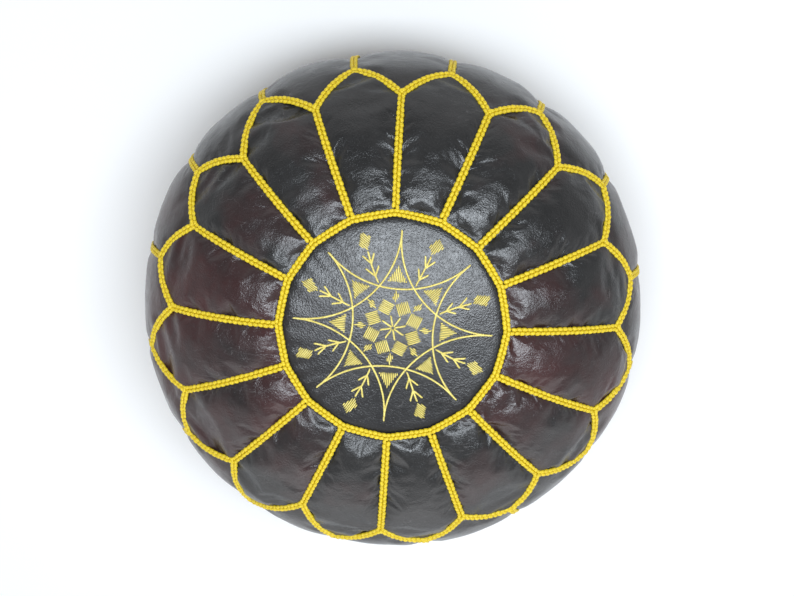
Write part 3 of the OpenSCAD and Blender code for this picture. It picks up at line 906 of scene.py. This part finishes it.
def make_embroidery():
    def fresh():
        return Yarns(6)

    star, sprigs, lozenges, triangles, rosette = (fresh() for _ in range(5))
    for k in range(STAR_TIPS):
        tip, sprig = TIP_DEG - k * STAR_TURN, SPRIG_DEG - k * STAR_TURN
        stem_line(star, star_arc(-k))
        lean = 1.2 * math.sin(2.1 * k)
        bend = np.array([[47, 0], [55, lean * 0.6], [64, lean], [73, lean * 0.7], [79.5, 0.3]]) * MM
        stem_line(sprigs, turned(bend, sprig))
        for foot, reach in ((54, 9.5), (67, 10.5)):
            for way in (-1, 1):
                root = [foot, lean * 0.8]
                tip_point = [foot + reach * random.uniform(0.85, 1.05),
                             lean * 0.8 + way * random.uniform(5.4, 6.6)]
                stem_line(sprigs, turned(np.array([root, tip_point]) * MM, sprig))
        lozenge = np.array([[80.3, 0.5], [87.5, 6.8], [99.5, 1.5], [92.5, -6.6]]) * MM
        satin(lozenges, turned(lozenge, sprig), sprig + 40 * (k % 2) - 8)
        triangle = np.array([[46, -9.5], [46, 9.5], [62, 0]]) * MM
        satin(triangles, turned(triangle, tip), tip)
        around = sprig
        square = np.array([[-1, -1], [1, -1], [1, 1], [-1, 1]]) * 6.1 * MM
        square = turned(square, 45) + np.array([21.7 * MM, 0])
        satin(rosette, turned(square, around), around + 45)
        leaf = np.array([[25.5, 0], [30, 3.2], [38, 0.3], [32, -3.3]]) * MM
        satin(rosette, turned(leaf, tip), tip + 12)
        stem_line(rosette, turned(np.array([[1.5, 0], [12.5, 0]]) * MM, around + 36))
    for yarns, node in ((star, "star"), (sprigs, "sprigs"), (lozenges, "lozenges"),
                        (triangles, "triangles"), (rosette, "rosette")):
        yarns.make("thread_" + node, THREAD_SILK, "embroidery_silk", "embroidery_" + node)


make_embroidery()


# ------------------------------------------------------------------ stuffing
def make_stuffing():
    """Wadding and cloth offcuts: follows the cover a little way inside, with a lumpy skin."""
    inset, bottom = 9.5 * MM, 9.5 * MM
    around = 240
    level = np.linspace(RING_LEVEL, BASE_LEVEL, 80)
    r, z, nr, nz = profile(level)
    top_r = np.linspace(0, RING_R * 0.98, 16)[1:]
    top_z = COVER_H - DOME_R + np.sqrt(DOME_R**2 - top_r**2) - inset
    side_r, side_z = r - inset * nr, np.maximum(z - inset * nz, bottom)
    base_r = np.linspace(side_r[-1], 0, 14)[1:-1]
    all_r = np.concatenate([top_r, side_r, base_r])
    all_z = np.concatenate([top_z, side_z, np.full(len(base_r), bottom)])
    a = np.linspace(0, 2 * math.pi, around, endpoint=False)
    x, y = np.outer(all_r, np.cos(a)), np.outer(all_r, np.sin(a))
    points = np.stack([x, y, np.outer(all_z, np.ones(around))], -1).reshape(-1, 3)
    lumps = 0.5 * (soft_noise(points, 55, 21) + soft_noise(points, 140, 22)) - 1
    inward = points - np.array([0, 0, EQUATOR])
    inward /= np.linalg.norm(inward, axis=1)[:, None]
    points = points + inward * np.clip(lumps, -2, 0)[:, None] * 1.2 * MM
    points[:, 2] = np.maximum(points[:, 2], bottom)
    rows = len(all_r)
    numbers = np.arange(rows * around).reshape(rows, around)
    numbers = np.concatenate([numbers, numbers[:, :1]], 1)
    faces = [f[::-1] for f in grid_faces(numbers)]
    top, base = len(points), len(points) + 1
    points = np.concatenate([points, [[0, 0, COVER_H - inset], [0, 0, bottom]]])
    for i in range(around):
        faces.append((top, int(numbers[0, i]), int(numbers[0, i + 1])))
        faces.append((base, int(numbers[-1, i + 1]), int(numbers[-1, i])))
    core = add_mesh("wadding_core", points, faces)
    as_piece(core, WADDING, "pouf", "wadding", "stuffing")


make_stuffing()

# ------------------------------------------------------------------ base and zip
HEM_IN, HEM_OUT, HEM_TOP = 6 * MM, 19.5 * MM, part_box("base_half_left")[1].z
HEM_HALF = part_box("zip_tape_left")[1].x
SLOT_HALF = HEM_HALF - 4 * MM
BASE_LIP_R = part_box("base_half_left")[1].y
STITCH_ROWS = (9.5 * MM, 17 * MM)


def smooth_step(low, high, value):
    t = np.clip((value - low) / (high - low), 0, 1)
    return t * t * (3 - 2 * t)


def base_height(x, y):
    """Height of the base's underside: flat where it stands, dented along the stitching and seams."""
    r = np.hypot(x, y)
    noise = soft_noise(np.stack([x, y, 0 * x], -1), 70, 31)
    height = 0.35 * MM + 0.12 * MM * noise
    height = height + 3.4 * MM * smooth_step(BASE_LIP_R - 12 * MM, BASE_LIP_R, r) ** 1.5
    row = sum(np.exp(-((y - at) / (0.9 * MM)) ** 2) for at in STITCH_ROWS)
    near_zip = 1 - smooth_step(HEM_HALF - 2 * MM, HEM_HALF + 2 * MM, np.abs(x))
    return height + 0.55 * MM * row * near_zip


def base_section(x):
    """The cut through one half at x: under, round the folded hem, and back over it."""
    away = abs(x)
    open_share = 1 - smooth_step(SLOT_HALF - 2 * MM, SLOT_HALF + 1 * MM, away)
    hem_share = 1 - smooth_step(HEM_HALF - 3 * MM, HEM_HALF + 1 * MM, away)
    inner = 0.35 * MM + (HEM_IN - 0.35 * MM) * open_share
    outer = max(math.sqrt(max(BASE_LIP_R**2 - x * x, 0)), inner + 1.2 * MM)
    hem = min(HEM_OUT, outer - 0.3 * MM)
    edge = min(1.4 * MM, (outer - inner) / 3)
    y = outer + (inner + edge - outer) * np.linspace(0, 1, 60) ** 0.8
    z = base_height(np.full(60, x), y)
    top = LEATHER + 0.3 * MM + (HEM_TOP - LEATHER - 0.4 * MM) * hem_share
    a = np.linspace(-90, 90, 11)[1:-1] * math.pi / 180
    low = z[-1]
    fold_y = inner + edge - edge * np.cos(a)
    fold_z = (low + top) / 2 + (top - low) / 2 * np.sin(a)
    over_y = np.linspace(inner + edge, max(hem, inner + edge), 9)
    back_y = np.linspace(max(hem, inner + edge) + 0.2 * MM, outer, 30)
    back_z = base_height(np.full(30, x), back_y) + LEATHER
    return (np.concatenate([y, fold_y, over_y, back_y]),
            np.concatenate([z, fold_z, np.full(9, top), np.maximum(back_z, LEATHER)]))


def make_base():
    span = (BASE_LIP_R - 1.5 * MM) * np.sin(np.linspace(-math.pi / 2, math.pi / 2, 320))
    for name, side in (("left", 1), ("right", -1)):
        cuts = [base_section(x) for x in span]
        points = np.array([[(side * x, side * y, z) for y, z in zip(*cut)]
                           for x, cut in zip(span, cuts)])
        rows, columns = points.shape[:2]
        numbers = np.arange(rows * columns).reshape(rows, columns)
        wrapped = np.concatenate([numbers, numbers[:, :1]], 1)
        faces = grid_faces(wrapped) + [numbers[0].tolist(), numbers[-1, ::-1].tolist()]
        half = add_mesh("leather_base_" + name, points.reshape(-1, 3), faces)
        as_piece(half, BASE_LEATHER, "pouf", "base_leather", "base_half_" + name)
        threads = Yarns(6)
        for row in STITCH_ROWS:
            for x in np.arange(-HEM_HALF + 4 * MM, HEM_HALF - 4 * MM, 4.2 * MM):
                t = np.linspace(0, 1, 6)
                xs = x + 3.2 * MM * t
                lift = 0.25 * MM * (1 - (2 * t - 1) ** 4) - 0.35 * MM
                z = base_height(xs, np.full(6, row)) - lift - 0.42 * MM
                path = np.stack([side * xs, np.full(6, side * row), z], -1)
                threads.add(path, np.tile(-UP, (6, 1)), 0.33 * MM, 0.5)
        threads.make("stitching_" + name, TAPE_CLOTH, "base_leather")


def make_zip():
    coil_z = (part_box("zip_coil_left")[0].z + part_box("zip_coil_left")[1].z) / 2
    zip_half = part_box("zip_coil_left")[1].x
    pitch = 2 * MM
    wire_r = 0.34 * MM
    for name, side in (("left", 1), ("right", -1)):
        # The coil: a helix pressed flat, with a loop to every two millimetres
        turns = round(2 * zip_half / pitch) - 1
        phase = 0 if side > 0 else math.pi
        a = np.arange(turns * 14) / 14 * 2 * math.pi + phase
        x = -zip_half + pitch * (a / (2 * math.pi)) + wire_r
        mid, half = 1.95 * MM, 1.05 * MM
        y = side * (mid + half * np.sign(np.cos(a)) * np.abs(np.cos(a)) ** 0.7)
        z = coil_z + 0.62 * MM * np.sin(a)
        coil = Yarns(6)
        path = np.stack([x, y, z], -1)
        coil.add(path, np.tile([1.0, 0, 0], (len(a), 1)), wire_r, 0.5)
        # The cord that the loops are wound and sewn on
        cord = np.linspace(-zip_half, zip_half, 200)
        coil.add(np.stack([cord, 0 * cord + side * 2.2 * MM, 0 * cord + coil_z], -1),
                 np.tile(UP, (200, 1)), 0.42 * MM, 0.5)
        coil.make("coil_" + name, COIL_NYLON, "zip_coil", "zip_coil_" + name)
        low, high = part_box("zip_tape_" + name)
        x = np.linspace(low.x, high.x, 160)
        inner, outer = sorted((abs(low.y), abs(high.y)))
        y = np.linspace(inner, outer, 12)
        grid = np.array([[(px, side * py, high.z - 0.05 * MM * (1 + math.sin(170 * px + 90 * py)))
                          for py in y] for px in x])
        numbers = np.arange(160 * 12).reshape(160, 12)
        faces = grid_faces(numbers)
        tape = add_mesh("tape_" + name, grid.reshape(-1, 3),
                        faces if side > 0 else [f[::-1] for f in faces])
        thicken(tape, high.z - low.z - 0.1 * MM, 0)
        as_piece(tape, TAPE_CLOTH, "pouf", "zip_tape", "zip_tape_" + name)
    for node in ("zip_slider", "zip_pull", "zip_stop_open", "zip_stop_closed"):
        metal = bpy.data.objects[node]
        metal.data.materials.clear()
        metal.data.materials.append(ZIP_METAL)


make_base()
make_zip()

# ------------------------------------------------------------------ light and floor
def make_stage():
    size = 8
    floor = add_mesh("floor", [(-size, -size, 0), (size, -size, 0), (size, size, 0),
                               (-size, size, 0)], [(0, 1, 2, 3)], smooth=False)
    s = Shader("floor")
    s.set(Roughness=0.9, Specular_IOR_Level=0.1)
    s.bsdf.inputs["Base Color"].default_value = (0.98, 0.975, 0.965, 1)
    floor.data.materials.append(s.material)
    world = bpy.data.worlds.new("studio")
    world.use_nodes = True
    bpy.context.scene.world = world
    tree = world.node_tree
    where = tree.nodes.new("ShaderNodeTexCoord")
    split = tree.nodes.new("ShaderNodeSeparateXYZ")
    ramp = tree.nodes.new("ShaderNodeValToRGB")
    back = tree.nodes["Background"]
    tree.links.new(where.outputs["Generated"], split.inputs[0])
    tree.links.new(split.outputs["Z"], ramp.inputs["Fac"])
    # The room is brighter on the near side, at -Y
    nearer = tree.nodes.new("ShaderNodeMath")
    nearer.operation = "MULTIPLY_ADD"
    nearer.inputs[1].default_value, nearer.inputs[2].default_value = 0.6, -0.3
    tree.links.new(split.outputs["Y"], nearer.inputs[0])
    squared = tree.nodes.new("ShaderNodeMath")
    squared.operation = "MULTIPLY_ADD"
    squared.inputs[2].default_value = 0.38
    tree.links.new(nearer.outputs[0], squared.inputs[0])
    tree.links.new(split.outputs["Y"], squared.inputs[1])
    scale = tree.nodes.new("ShaderNodeVectorMath")
    scale.operation = "SCALE"
    tree.links.new(ramp.outputs["Color"], scale.inputs[0])
    tree.links.new(squared.outputs[0], scale.inputs["Scale"])
    tree.links.new(scale.outputs[0], back.inputs["Color"])
    stops = [(0.0, 1.0), (0.3, 1.0), (0.6, 0.4), (0.95, 0.3)]
    while len(ramp.color_ramp.elements) < len(stops):
        ramp.color_ramp.elements.new(0.5)
    for element, (place, grey) in zip(ramp.color_ramp.elements, stops):
        element.position = place
        element.color = (grey, grey, grey * 1.02, 1)
    back.inputs["Strength"].default_value = 1.7
    data = bpy.data.lights.new("softbox", "AREA")
    data.shape = "RECTANGLE"
    data.size, data.size_y = 1.35, 0.52
    data.energy = 34
    data.color = (0.86, 0.93, 1.0)
    lamp = bpy.data.objects.new("softbox", data)
    bpy.context.scene.collection.objects.link(lamp)
    lamp.location = (0.18, 0.06, 1.95)
    lamp.rotation_euler = (math.radians(-4), 0, 0)


make_stage()
bpy.context.scene.view_settings.view_transform = "Standard"
